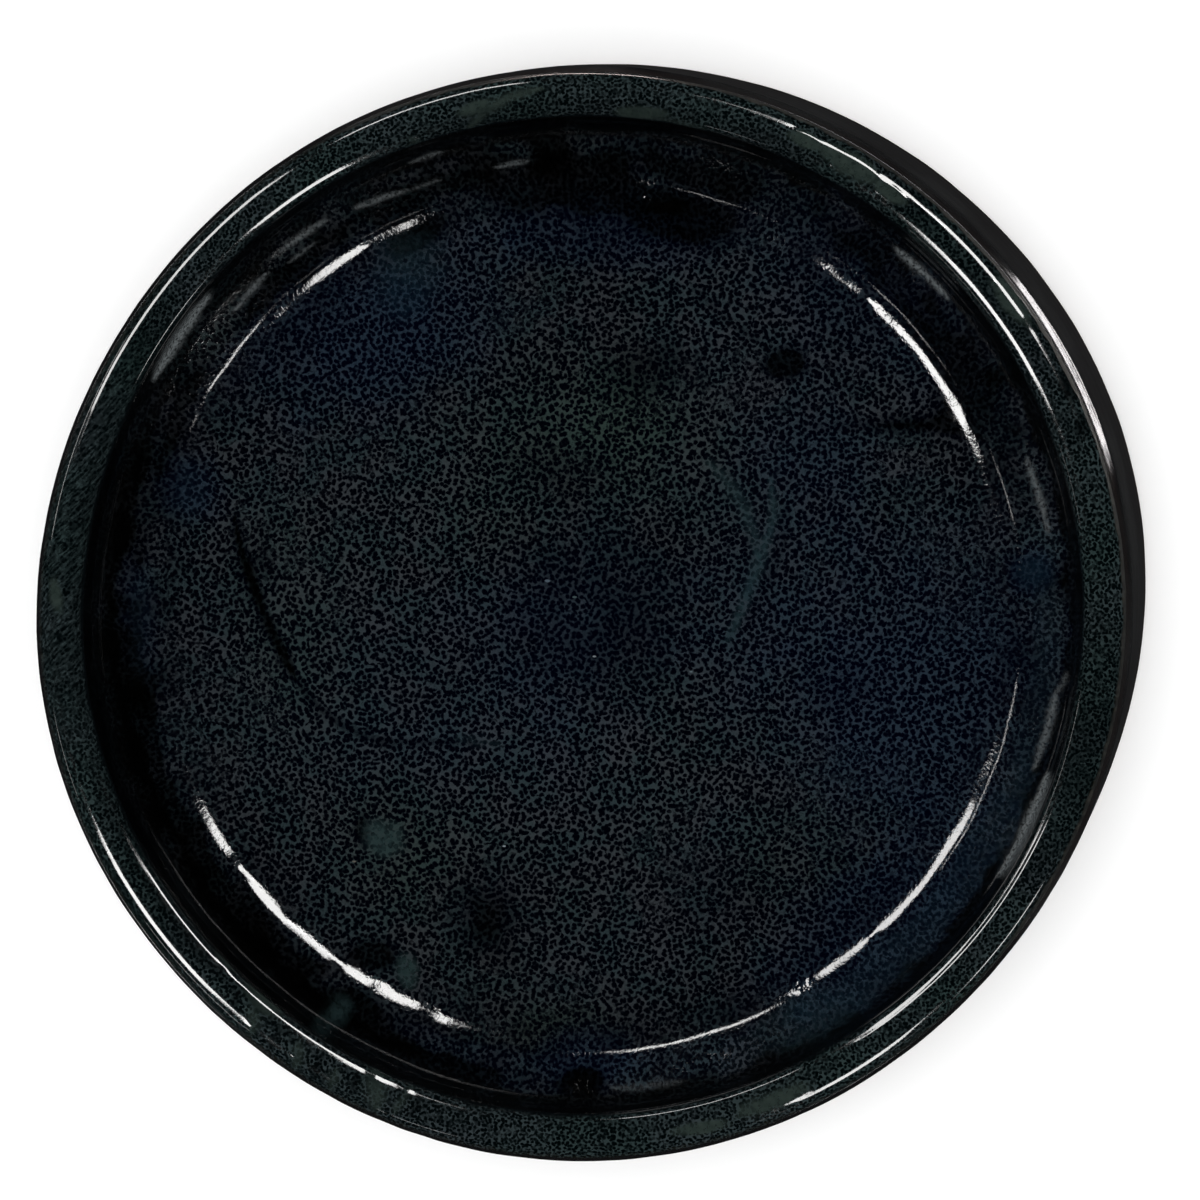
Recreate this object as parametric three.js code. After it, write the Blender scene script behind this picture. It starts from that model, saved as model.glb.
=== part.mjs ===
// Plant saucer: a wheel-thrown stoneware dish that a flower pot stands in.
// Millimetres, +Z up, origin on the standing surface at the middle of the foot.
//
// One lump of fired clay makes the floor, the wall, the rim and the foot.
// Four fired glaze coats lie on it: mottled glaze in the well, a second
// glaze round the rim, satin black outside and satin black in the recess
// under the floor. The foot that stands on the table is bare clay.
import * as THREE from "three";

// ---------- driving dimensions ----------
const HEIGHT = 34.0;          // table to the top of the rim
const RIM_R = 102.2;          // widest point of the rim's outer rounding
// The rim is a rounded bead. Each entry is an arc's radius and the slope, in
// degrees, that it reaches; the arcs run from the crown out and from the crown in.
const RIM_OUT_ARCS = [[6.2, 15], [4.3, 25], [3.6, 90]];
const RIM_IN_ARCS = [[6.2, 15], [6.7, 25], [2.1, 90]];
const GLAZE_LINE = 52;        // slope at which the rim coat gives way to the outside coat
const WALL_LOW_R = 103.2;     // widest point of the wall, just above the foot
const WALL_LOW_Z = 4.4;
const FOOT_ROUND_R = 101.0;   // where the bare foot turns under
const FOOT_OUT_R = 99.6;      // flat standing ring, outer and inner radius
const FOOT_IN_R = 90.6;
const GLAZE_STOP_Z = 3.2;     // the outside coat ends this far above the table
const RECESS_Z = 6.5;         // glazed underside of the floor
const RECESS_R = 86.6;
const FLOOR_Z = 16.0;         // glazed floor that the pot stands on
const FLOOR_R = 76.4;         // flat part of the floor
const CORNER_ROUND = 14.0;    // fillet from the floor to the sloping part of the wall
const SLOPE = 32;             // slope of that part, degrees
const BEND_C = [87.93, 27.17]; // bend from the slope to the steep wall under the rim
const BEND_ROUND = 5.5;
const STEEP = 84;             // slope where the bend ends
const GLAZE = 0.7;            // thickness of a glaze coat
const SEAM = 0.05;            // clearance between the solids of a fused coat and the clay
const SEGMENTS = 72;

// ---------- glazed surface, from the middle of the floor out, up and over ----------
const deg = Math.PI / 180;

function arc(c, r, from, to, steps) {
  const pts = [];
  for (let i = 0; i <= steps; i++) {
    const a = (from + ((to - from) * i) / steps) * deg;
    pts.push([c[0] + r * Math.sin(a), c[1] + r * Math.cos(a)]);
  }
  return pts;
}

// one side of the bead: arcs in a row from the crown, side is 1 for out and -1 for in
function bead(crown, arcs, side, steps, cut) {
  const pts = [[...crown]];
  let from = 0;
  arcs.forEach(([r, to], k) => {
    const [x, z] = pts[pts.length - 1];
    const c = [x - side * r * Math.sin(from * deg), z - r * Math.cos(from * deg)];
    const stops = k === arcs.length - 1 && cut ? [cut, to] : [to];
    for (const stop of stops) {
      pts.push(...arc(c, r, side * from, side * stop, steps[k]).slice(1));
      from = stop;
    }
  });
  return pts;
}
const reach = RIM_OUT_ARCS.reduce(
  (sum, [r, to], k) =>
    sum + r * (Math.sin(to * deg) - (k ? Math.sin(RIM_OUT_ARCS[k - 1][1] * deg) : 0)),
  0,
);
const crown = [RIM_R - reach, HEIGHT];
const beadOut = bead(crown, RIM_OUT_ARCS, 1, [1, 1, 2], GLAZE_LINE); // 0, 15, 25, line (2 steps), 90 (2 steps)
const beadIn = bead(crown, RIM_IN_ARCS, -1, [1, 1, 3]);

// well: flat floor, fillet, slope, bend, steep wall up to the rim's inner rounding
const well = [
  [0, FLOOR_Z],
  [FLOOR_R * 0.55, FLOOR_Z],
  ...arc([FLOOR_R, FLOOR_Z + CORNER_ROUND], CORNER_ROUND, 180, 180 - SLOPE, 4),
  ...arc(BEND_C, BEND_ROUND, 180 - SLOPE, 180 - STEEP, 4),
  beadIn[beadIn.length - 1],
];
// rim: inner rounding, crown, outer rounding down to where the two glazes meet
const rim = [...beadIn.slice(1).reverse(), ...beadOut.slice(0, 5)];
// outside: rest of the outer rounding, slightly spreading wall, turn towards the foot
const outside = [
  ...beadOut.slice(4),
  [RIM_R + 0.62 * (WALL_LOW_R - RIM_R), 19.5],
  [WALL_LOW_R, 8.0],
  [WALL_LOW_R, WALL_LOW_Z],
  [WALL_LOW_R - 0.35, GLAZE_STOP_Z],
];

// ---------- a path moved into the clay, square to itself ----------
function inset(path, d, startN, endN) {
  const out = [];
  for (let i = 0; i < path.length; i++) {
    let n;
    if (i === 0 && startN) n = startN;
    else if (i === path.length - 1 && endN) n = endN;
    else {
      const a = path[Math.max(i - 1, 0)];
      const b = path[Math.min(i + 1, path.length - 1)];
      const l = Math.hypot(b[0] - a[0], b[1] - a[1]);
      n = [(b[1] - a[1]) / l, -(b[0] - a[0]) / l];
    }
    out.push([path[i][0] + n[0] * d, path[i][1] + n[1] * d]);
  }
  return out;
}
// directions into the clay where the coats end
const down = [0, -1];
const joinIn = [1, 0];                                      // well and rim meet on the steep wall
const joinOut = [-Math.sin(GLAZE_LINE * deg), -Math.cos(GLAZE_LINE * deg)]; // rim and outside meet on the outer rounding
const joinFoot = [-1, 0];

const wellBack = inset(well, GLAZE, down, joinIn);
const rimBack = inset(rim, GLAZE, joinIn, joinOut);
const outsideBack = inset(outside, GLAZE, joinOut, joinFoot);

// ---------- solids of revolution ----------
function turned(name, profile, colour, roughness) {
  const geometry = new THREE.LatheGeometry(
    profile.map(([r, z]) => new THREE.Vector2(r, z)),
    SEGMENTS,
  );
  geometry.rotateX(Math.PI / 2);
  const mesh = new THREE.Mesh(
    geometry,
    new THREE.MeshStandardMaterial({ color: colour, roughness, metalness: 0 }),
  );
  mesh.name = name;
  return mesh;
}

// A coat is the glazed path out, and the path on the clay side back. Its ends are
// trimmed by half a seam so that neighbouring coats don't overlap.
function coat(name, front, back, colour, roughness, onAxis) {
  const f = front.map((p) => [...p]);
  const b = back.map((p) => [...p]);
  const trim = (list, i, j) => {
    const l = Math.hypot(list[j][0] - list[i][0], list[j][1] - list[i][1]);
    for (const k of [0, 1]) list[i][k] += ((list[j][k] - list[i][k]) / l) * SEAM * 0.5;
  };
  const last = f.length - 1;
  if (!onAxis) {
    trim(f, 0, 1);
    trim(b, 0, 1);
  }
  trim(f, last, last - 1);
  trim(b, last, last - 1);
  const profile = [...f, ...b.reverse()];
  if (!onAxis) profile.push([...profile[0]]);
  return turned(name, profile.reverse(), colour, roughness);
}

// ---------- clay body: inside all the coats, bare at the foot ----------
const skin = GLAZE + SEAM;
const wellClay = inset(well, skin, down, joinIn);
const rimClay = inset(rim, skin, joinIn, joinOut);
const outsideClay = inset(outside, skin, joinOut, joinFoot);
const clay = [
  ...wellClay,
  ...rimClay.slice(1),
  ...outsideClay.slice(1),
  // bare foot: a small step out from under the coat, then round to the standing ring
  [WALL_LOW_R - 0.35 - GLAZE, GLAZE_STOP_Z - 0.3],
  [WALL_LOW_R - 0.95, GLAZE_STOP_Z - 0.75],
  [FOOT_ROUND_R, 0.55],
  [FOOT_OUT_R, 0],
  [FOOT_IN_R, 0],
  [FOOT_IN_R - 1.3, 0.6],
  [RECESS_R + 1.2, RECESS_Z - 1.6],
  [RECESS_R + 0.2, RECESS_Z - 0.4 + skin],
  [RECESS_R - 0.6, RECESS_Z + skin],
  [0, RECESS_Z + skin],
];

// ---------- coat in the recess under the floor ----------
const recess = [
  [0, RECESS_Z],
  [RECESS_R - 1.2, RECESS_Z],
  [RECESS_R - 0.7, RECESS_Z + 0.25],
  [RECESS_R - 0.7, RECESS_Z + GLAZE],
  [0, RECESS_Z + GLAZE],
];

const saucer = new THREE.Group();
saucer.add(turned("clay_body", [...clay].reverse(), 0x6b5a4c, 0.85));
saucer.add(coat("glaze_well", well, wellBack, 0x1b2a30, 0.12, true));
saucer.add(coat("glaze_rim", rim, rimBack, 0x16241f, 0.14, false));
saucer.add(coat("glaze_outside", outside, outsideBack, 0x19181a, 0.38, false));
saucer.add(turned("glaze_recess", recess, 0x19181a, 0.4));

export default saucer;
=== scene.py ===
# Looks for the plant saucer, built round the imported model. Work is in millimetres
# up to the point where a mesh is made, then metres. +Z up, foot on z = 0.
import math

import bpy
import numpy as np
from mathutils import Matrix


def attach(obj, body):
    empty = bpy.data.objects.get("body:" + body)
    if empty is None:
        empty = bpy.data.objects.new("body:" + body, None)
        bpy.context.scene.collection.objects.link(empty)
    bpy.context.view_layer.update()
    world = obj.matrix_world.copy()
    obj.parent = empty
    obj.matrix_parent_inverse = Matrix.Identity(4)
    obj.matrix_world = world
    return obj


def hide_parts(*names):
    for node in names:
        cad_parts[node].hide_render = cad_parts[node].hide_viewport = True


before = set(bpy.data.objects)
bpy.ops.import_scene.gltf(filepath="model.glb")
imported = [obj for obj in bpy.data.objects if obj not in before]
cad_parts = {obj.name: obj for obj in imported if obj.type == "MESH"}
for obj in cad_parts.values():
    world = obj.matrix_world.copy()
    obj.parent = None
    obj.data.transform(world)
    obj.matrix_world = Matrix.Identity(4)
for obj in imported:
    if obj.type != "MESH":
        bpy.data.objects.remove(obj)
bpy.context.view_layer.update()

# ======================================================================
# dimensions, the same as the model's
# ======================================================================
HEIGHT = 34.0
RIM_R = 102.2
RIM_OUT_ARCS = [(6.2, 15), (4.3, 25), (3.6, 90)]
RIM_IN_ARCS = [(6.2, 15), (6.7, 25), (2.1, 90)]
GLAZE_LINE = 52
WALL_LOW_R = 103.2
WALL_LOW_Z = 4.4
FOOT_ROUND_R = 101.0
FOOT_OUT_R = 99.6
FOOT_IN_R = 90.6
GLAZE_STOP_Z = 3.2
RECESS_Z = 6.5
RECESS_R = 86.6
FLOOR_Z = 16.0
FLOOR_R = 76.4
CORNER_ROUND = 14.0
SLOPE = 32
BEND_C = (87.93, 27.17)
BEND_ROUND = 5.5
STEEP = 84
GLAZE = 0.7
SEAM = 0.05

# ======================================================================
# camera: 1.4 m away, 8 degrees off the saucer's axis
# ======================================================================
TILT, TURN = 8.0, 35.5
CAM_DIST = 1400.0
FRAME_W = 225.0
PHOTO = 1200.0
VIEW = np.array([
    math.sin(math.radians(TILT)) * math.cos(math.radians(TURN)),
    math.sin(math.radians(TILT)) * math.sin(math.radians(TURN)),
    math.cos(math.radians(TILT)),
])
RIGHT = np.cross([0.0, 1.0, 0.0], VIEW)
RIGHT /= np.linalg.norm(RIGHT)
UPWARD = np.cross(VIEW, RIGHT)
AIM = np.array([0.0, 0.0, HEIGHT]) + RIGHT * 4.098 + UPWARD * 3.41
EYE = AIM + VIEW * CAM_DIST


def to_photo(p):
    """Where a point, or an array of them, falls in the 1200 x 1200 picture."""
    q = np.asarray(p, float) - EYE
    depth = -(q @ VIEW)
    k = CAM_DIST * PHOTO / FRAME_W
    return 600 + (q @ RIGHT) / depth * k, 600 - (q @ UPWARD) / depth * k


# ======================================================================
# noise on a lattice, the same on every run
# ======================================================================
def _lattice(ix, iy, iz, seed):
    h = (ix.astype(np.int64) * 374761393 + iy.astype(np.int64) * 668265263
         + iz.astype(np.int64) * 2147483647 + seed * 1274126177) & 0xFFFFFFFF
    h = ((h ^ (h >> 13)) * 1274126177) & 0xFFFFFFFF
    h = ((h ^ (h >> 16)) * 2246822519) & 0xFFFFFFFF
    return ((h ^ (h >> 15)) & 0xFFFFFF) / float(0xFFFFFF) * 2 - 1


def noise(x, y, z=0.0, seed=0):
    """Smooth value noise, about -1 to 1, cell size 1."""
    x, y, z = np.broadcast_arrays(np.asarray(x, float), np.asarray(y, float), np.asarray(z, float))
    x0, y0, z0 = np.floor(x), np.floor(y), np.floor(z)
    fx, fy, fz = x - x0, y - y0, z - z0
    fx, fy, fz = (f * f * f * (f * (f * 6 - 15) + 10) for f in (fx, fy, fz))
    out = 0.0
    for dx, wx in ((0, 1 - fx), (1, fx)):
        for dy, wy in ((0, 1 - fy), (1, fy)):
            for dz, wz in ((0, 1 - fz), (1, fz)):
                out = out + wx * wy * wz * _lattice(x0 + dx, y0 + dy, z0 + dz, seed)
    return out


def layered(x, y, z=0.0, octaves=3, seed=0):
    total, amp, f = 0.0, 1.0, 1.0
    for k in range(octaves):
        total = total + amp * noise(np.asarray(x) * f + 17.3 * k, np.asarray(y) * f - 9.1 * k, np.asarray(z) * f + 4.7 * k, seed + 31 * k)
        amp *= 0.5
        f *= 2.03
    return total / (2 - 0.5 ** (octaves - 1))


def step(t):
    t = np.clip(t, 0.0, 1.0)
    return t * t * (3 - 2 * t)


# ======================================================================
# profiles (radius, height), each from the middle outwards
# ======================================================================
def arc(c, r, a0, a1, n):
    a = np.radians(np.linspace(a0, a1, n + 1))
    return np.stack([c[0] + r * np.sin(a), c[1] + r * np.cos(a)], 1)


def line(a, b, n):
    t = np.linspace(0, 1, n + 1)[:, None]
    return np.asarray(a, float) * (1 - t) + np.asarray(b, float) * t


def chain(*runs):
    out = [runs[0]]
    for r in runs[1:]:
        out.append(r[1:])
    return np.concatenate(out)


def bead(crown, arcs, side, steps, lo=0.0, hi=90.0):
    """One side of the rim's bead from slope lo to slope hi."""
    x, z = crown
    runs, frm = [], 0.0
    for (r, to), n in zip(arcs, steps):
        c = (x - side * r * math.sin(math.radians(frm)), z - r * math.cos(math.radians(frm)))
        a, b = max(frm, lo), min(to, hi)
        if b > a:
            runs.append(arc(c, r, side * a, side * b, max(1, round(n * (b - a) / (to - frm)))))
        x = c[0] + side * r * math.sin(math.radians(to))
        z = c[1] + r * math.cos(math.radians(to))
        frm = to
    return chain(*runs)


def _reach(arcs):
    total, frm = 0.0, 0.0
    for r, to in arcs:
        total += r * (math.sin(math.radians(to)) - math.sin(math.radians(frm)))
        frm = to
    return total


CROWN = (RIM_R - _reach(RIM_OUT_ARCS), HEIGHT)
bead_in = bead(CROWN, RIM_IN_ARCS, -1, (8, 7, 18))
rim_edge = bead_in[-1]


def well_path(fine):
    f = (lambda n: n) if fine else (lambda n: max(2, n // 6))
    return chain(
        line((0, FLOOR_Z), (FLOOR_R, FLOOR_Z), f(96)),
        arc((FLOOR_R, FLOOR_Z + CORNER_ROUND), CORNER_ROUND, 180, 180 - SLOPE, f(30)),
        line((FLOOR_R + CORNER_ROUND * math.sin(math.radians(SLOPE)),
              FLOOR_Z + CORNER_ROUND * (1 - math.cos(math.radians(SLOPE)))),
             (BEND_C[0] + BEND_ROUND * math.sin(math.radians(SLOPE)),
              BEND_C[1] - BEND_ROUND * math.cos(math.radians(SLOPE))), f(16)),
        arc(BEND_C, BEND_ROUND, 180 - SLOPE, 180 - STEEP, f(14)),
        line((BEND_C[0] + BEND_ROUND * math.sin(math.radians(STEEP)),
              BEND_C[1] - BEND_ROUND * math.cos(math.radians(STEEP))), rim_edge, f(9)),
    )


def rim_path(fine):
    a = (10, 8, 20) if fine else (1, 1, 3)
    b = (10, 6, 26) if fine else (1, 1, 5)
    return chain(bead(CROWN, RIM_IN_ARCS, -1, a)[::-1], bead(CROWN, RIM_OUT_ARCS, 1, b, 0, GLAZE_LINE))


def outside_path(fine):
    n = 14 if fine else 3
    m = 1 if fine else 4
    return chain(
        bead(CROWN, RIM_OUT_ARCS, 1, (1, 1, n * 2), GLAZE_LINE, 90),
        line((RIM_R, HEIGHT - 3.73), (RIM_R + 0.62 * (WALL_LOW_R - RIM_R), 19.5), 20 // m),
        line((RIM_R + 0.62 * (WALL_LOW_R - RIM_R), 19.5), (WALL_LOW_R, 8.0), 20 // m),
        line((WALL_LOW_R, 8.0), (WALL_LOW_R, WALL_LOW_Z), 8 // m),
        line((WALL_LOW_R, WALL_LOW_Z), (WALL_LOW_R - 0.35, GLAZE_STOP_Z), 6 // m),
    )


def path_normals(path):
    d = np.gradient(path, axis=0)
    d /= np.linalg.norm(d, axis=1)[:, None]
    return np.stack([-d[:, 1], d[:, 0]], 1)


def along(path):
    return np.concatenate([[0], np.cumsum(np.linalg.norm(np.diff(path, axis=0), axis=1))])


# ======================================================================
# thrown by hand: how the round profile runs out of true
# ======================================================================
RIM_WOBBLE = (0.796, -0.071, -0.020, 0.173, 0.694, -0.072, 0.076, 0.253, 0.074, -0.019, -0.057, 0.046, 0.042)
FOOT_WOBBLE = (0.524, 0.578, 0.265, 0.179, 0.668, -0.346, 0.603, 0.047, 0.726, 0.414, -0.136)
WELL_SHIFT = (-1.14, -1.12)
INNER_IN = 0.8


def wobble(c, th):
    out = np.full_like(th, c[0])
    for k in range(1, (len(c) + 1) // 2):
        out = out + c[2 * k - 1] * np.cos(k * th) + c[2 * k] * np.sin(k * th)
    return out


def inner_in(th):
    out = np.full_like(th, INNER_IN)
    for at, wide, less in ((35, 30, 0.35), (132, 28, 0.65), (325, 18, 0.60)):
        d = (np.degrees(th) - at + 180) % 360 - 180
        out = out - less * np.exp(-(d / wide) ** 2)
    return out


def thrown(r, z, th):
    """The place of a point of the true profile on the hand-thrown saucer."""
    low = (1 - step((z - 8) / 22)) * step((r - 86) / 10)
    k = step((r - 20) / 56) * (wobble(RIM_WOBBLE, th) * (1 - low) + wobble(FOOT_WOBBLE, th) * low)
    k = k - inner_in(th) * step((r - 50) / 20) * step((99.5 - r) / 4.5) * step((z - 8) / 6)
    s = step((99 - r) / 5) * step((z - 8) / 6) * step((32 - z) / 14)
    x = (r + k) * np.cos(th) + WELL_SHIFT[0] * s
    y = (r + k) * np.sin(th) + WELL_SHIFT[1] * s
    return np.stack([x, y, np.broadcast_to(z, x.shape)], -1)


def turned_grid(path, n):
    th = np.arange(n) / n * 2 * math.pi
    r, z, t = path[:, :1], path[:, 1:], th[None, :]
    return thrown(r + 0 * t, z + 0 * t, t + 0 * r)


def grid_normals(g, poleless=True):
    ds = np.gradient(g, axis=0)
    dt = np.roll(g, -1, 1) - np.roll(g, 1, 1)
    nrm = np.cross(ds, dt)
    length = np.linalg.norm(nrm, axis=-1, keepdims=True)
    nrm = np.where(length > 1e-9, nrm / np.maximum(length, 1e-9), [0.0, 0.0, 1.0])
    return nrm



# ======================================================================
# soft shapes laid out in the picture, used to place glaze marks, painted shade and painted reflections on the surface
# ======================================================================
class Marks:
    """Fields over the points of one surface, laid out where the marks are seen."""

    def __init__(self, pts, seed=0):
        self.x, self.y = to_photo(pts)
        p = pts.reshape(-1, 3)
        w = lambda s, k: layered(p[:, 0] / s, p[:, 1] / s, p[:, 2] / s, 3, seed + k).reshape(self.x.shape)
        self.w1, self.w2, self.w3 = w(7.0, 1), w(7.0, 2), w(2.2, 3)
        dx, dy = self.x - 583, 614.5 - self.y
        self.r = np.hypot(dx, dy)
        self.a = np.degrees(np.arctan2(dy, dx)) % 360

    def blob(self, cx, cy, rx, ry=None, rot=0.0, edge=0.35, ragged=0.35):
        """1 inside an ellipse, 0 outside, with a soft and uneven edge."""
        ry = rx if ry is None else ry
        c, s = math.cos(math.radians(rot)), math.sin(math.radians(rot))
        dx, dy = self.x - cx, -(self.y - cy)
        u, v = (dx * c + dy * s) / rx, (-dx * s + dy * c) / ry
        d = np.hypot(u, v) + ragged * (0.7 * self.w1 + 0.5 * self.w3)
        return 1 - step((d - (1 - edge)) / (2 * edge))

    def ring(self, cx, cy, r, width, ragged=0.15):
        d = np.hypot(self.x - cx, self.y - cy) + ragged * r * self.w3
        return np.exp(-(((d - r) / width) ** 2))

    def stroke(self, pts, width, ragged=0.3, taper=True):
        """Along a line of picture points, 1 on the line."""
        pts = np.asarray(pts, float)
        best = np.full(self.x.shape, 1e9)
        t_at = np.zeros(self.x.shape)
        n = len(pts) - 1
        for i in range(n):
            a, b = pts[i], pts[i + 1]
            ab = b - a
            t = np.clip(((self.x - a[0]) * ab[0] + (self.y - a[1]) * ab[1]) / (ab @ ab), 0, 1)
            d = np.hypot(self.x - a[0] - t * ab[0], self.y - a[1] - t * ab[1])
            near = d < best
            best = np.where(near, d, best)
            t_at = np.where(near, (i + t) / n, t_at)
        w = width * (1 + ragged * self.w3)
        if taper:
            w = w * (0.35 + 0.65 * np.sin(np.clip(t_at, 0.02, 0.98) * math.pi) ** 0.6)
        return np.exp(-((best / np.maximum(w, 0.3)) ** 2))

    def sector(self, a0, a1, r0, r1, soft_a=8.0, soft_r=8.0, ragged=8.0):
        """Between two angles and two radii seen from the middle of the picture's saucer."""
        mid, half = (a0 + a1) / 2, (a1 - a0) / 2
        da = np.abs((self.a - mid + 180) % 360 - 180)
        ka = step((half + soft_a - da - soft_a * 0.8 * self.w1) / (2 * soft_a) + 0.0)
        rr = self.r + ragged * (0.8 * self.w2 + 0.6 * self.w3)
        return ka * step((rr - r0) / soft_r + 0.5) * step((r1 - rr) / soft_r + 0.5)


def smooth_curve(pts, n=40):
    """A curve through picture points."""
    pts = np.asarray(pts, float)
    out = []
    for i in range(len(pts) - 1):
        p0, p1, p2, p3 = pts[max(i - 1, 0)], pts[i], pts[i + 1], pts[min(i + 2, len(pts) - 1)]
        for t in np.linspace(0, 1, max(2, n // (len(pts) - 1)), endpoint=False):
            out.append(0.5 * (2 * p1 + (p2 - p0) * t + (2 * p0 - 5 * p1 + 4 * p2 - p3) * t * t + (3 * p1 - p0 - 3 * p2 + p3) * t ** 3))
    out.append(pts[-1])
    return np.array(out)


# ======================================================================
# meshes
# ======================================================================
def shell(name, front, back, pole, extra=None):
    """A closed coat: front grid, back grid with as many columns, and its two edges.
    With pole, the first row of each is one point on the axis."""
    n = front.shape[1]
    verts, index = [], []

    def add(g):
        ids = []
        for k, row in enumerate(g):
            if pole and k == 0:
                ids.append(np.full(n, sum(len(v) for v in verts)))
                verts.append(row.mean(0, keepdims=True))
            else:
                ids.append(np.arange(n) + sum(len(v) for v in verts))
                verts.append(row)
        return np.array(ids)

    f, b = add(front), add(back)
    quads, tris = [], []

    def strip(a, c):
        a1, c1 = np.roll(a, -1), np.roll(c, -1)
        if np.all(a == a[0]):
            tris.append(np.stack([a, c, c1], 1))
        elif np.all(c == c[0]):
            tris.append(np.stack([a, c, a1], 1))
        else:
            quads.append(np.stack([a, c, c1, a1], 1))

    for i in range(len(f) - 1):
        strip(f[i], f[i + 1])
    for i in range(len(b) - 1):
        strip(b[i + 1], b[i])
    strip(f[-1], b[-1])
    if not pole:
        strip(b[0], f[0])
    return make(name, np.concatenate(verts), quads, tris), f


def make(name, verts, quads, tris):
    q = np.concatenate(quads) if quads else np.zeros((0, 4), int)
    t = np.concatenate(tris) if tris else np.zeros((0, 3), int)
    me = bpy.data.meshes.new(name)
    me.vertices.add(len(verts))
    me.vertices.foreach_set("co", (verts * 0.001).astype(np.float32).ravel())
    me.loops.add(q.size + t.size)
    me.loops.foreach_set("vertex_index", np.concatenate([q.ravel(), t.ravel()]).astype(np.int32))
    me.polygons.add(len(q) + len(t))
    starts = np.concatenate([np.arange(len(q)) * 4, q.size + np.arange(len(t)) * 3]).astype(np.int32)
    me.polygons.foreach_set("loop_start", starts)
    me.update(calc_edges=True)
    me.validate()
    me.polygons.foreach_set("use_smooth", np.ones(len(me.polygons), bool))
    ob = bpy.data.objects.new(name, me)
    scene.collection.objects.link(ob)
    return ob


def give(ob, name, ids, values):
    """A vector for each point of the front grid; 0 elsewhere."""
    me = ob.data
    out = np.zeros((len(me.vertices), 3), np.float32)
    v = values.reshape(ids.shape + (-1,))
    out[ids.ravel()] = v.reshape(-1, v.shape[-1])
    for row in range(ids.shape[0]):
        if ids[row][0] == ids[row][-1]:
            out[ids[row][0]] = v[row].mean(0)
    at = me.attributes.new(name, "FLOAT_VECTOR", "POINT")
    at.data.foreach_set("vector", out.ravel())


# ======================================================================
# node helpers
# ======================================================================
def lin(c):
    """An sRGB colour, 0 to 255, as linear numbers."""
    out = []
    for v in c:
        v = v / 255.0
        out.append(v / 12.92 if v <= 0.04045 else ((v + 0.055) / 1.055) ** 2.4)
    return tuple(out) + (1.0,)


class Nodes:
    def __init__(self, name):
        self.mat = bpy.data.materials.new(name)
        self.mat.use_nodes = True
        self.t = self.mat.node_tree
        self.t.nodes.clear()
        self.out = self.t.nodes.new("ShaderNodeOutputMaterial")
        self.bsdf = self.t.nodes.new("ShaderNodeBsdfPrincipled")
        self.t.links.new(self.bsdf.outputs[0], self.out.inputs[0])

    def put(self, socket, value):
        if isinstance(value, bpy.types.NodeSocket):
            self.t.links.new(value, socket)
        else:
            socket.default_value = value

    def node(self, kind, **props):
        n = self.t.nodes.new(kind)
        for k, v in props.items():
            setattr(n, k, v)
        return n

    def attr(self, name):
        return self.node("ShaderNodeAttribute", attribute_name=name).outputs["Vector"]

    def parts(self, vec):
        n = self.node("ShaderNodeSeparateXYZ")
        self.put(n.inputs[0], vec)
        return n.outputs[0], n.outputs[1], n.outputs[2]

    def join(self, x, y, z):
        n = self.node("ShaderNodeCombineXYZ")
        for s, v in zip(n.inputs, (x, y, z)):
            self.put(s, v)
        return n.outputs[0]

    def math(self, op, a, b=0.0, c=0.0, clamp=False):
        n = self.node("ShaderNodeMath", operation=op, use_clamp=clamp)
        for s, v in zip(n.inputs, (a, b, c)):
            self.put(s, v)
        return n.outputs[0]

    def vmath(self, op, a, b=None, scale=None):
        n = self.node("ShaderNodeVectorMath", operation=op)
        self.put(n.inputs[0], a)
        if b is not None:
            self.put(n.inputs[1], b)
        if scale is not None:
            self.put(n.inputs["Scale"], scale)
        return n.outputs["Value"] if op in ("LENGTH", "DOT_PRODUCT") else n.outputs[0]

    def ramp(self, v, lo, hi, to_lo=0.0, to_hi=1.0, smooth=True):
        n = self.node("ShaderNodeMapRange", interpolation_type="SMOOTHSTEP" if smooth else "LINEAR")
        for s, x in zip(n.inputs[:5], (v, lo, hi, to_lo, to_hi)):
            self.put(s, x)
        return n.outputs[0]

    def mix(self, f, a, b):
        n = self.node("ShaderNodeMix", data_type="RGBA")
        self.put(n.inputs[0], f)
        self.put(n.inputs[6], a)
        self.put(n.inputs[7], b)
        return n.outputs[2]

    def blend(self, f, a, b):
        n = self.node("ShaderNodeMix", data_type="FLOAT")
        self.put(n.inputs[0], f)
        self.put(n.inputs[2], a)
        self.put(n.inputs[3], b)
        return n.outputs[0]

    def noise(self, vec, scale, detail=2.0, rough=0.5, dims="3D", colour=False, distort=0.0):
        n = self.node("ShaderNodeTexNoise", noise_dimensions=dims)
        self.put(n.inputs["Vector"], vec)
        self.put(n.inputs["Scale"], scale)
        self.put(n.inputs["Detail"], detail)
        self.put(n.inputs["Roughness"], rough)
        self.put(n.inputs["Distortion"], distort)
        return n.outputs["Color" if colour else "Fac"]

    def voronoi(self, vec, scale, feature="F1", dims="3D", rand=1.0, out="Distance"):
        n = self.node("ShaderNodeTexVoronoi", voronoi_dimensions=dims, feature=feature)
        self.put(n.inputs["Vector"], vec)
        self.put(n.inputs["Scale"], scale)
        self.put(n.inputs["Randomness"], rand)
        return n.outputs[out]

    def bump(self, height, strength, distance, normal=None):
        n = self.node("ShaderNodeBump")
        self.put(n.inputs["Height"], height)
        self.put(n.inputs["Strength"], strength)
        self.put(n.inputs["Distance"], distance)
        if normal is not None:
            self.put(n.inputs["Normal"], normal)
        return n.outputs[0]

    def shader(self, **values):
        for k, v in values.items():
            self.put(self.bsdf.inputs[k.replace("_", " ")], v)
        return self.mat


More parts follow.
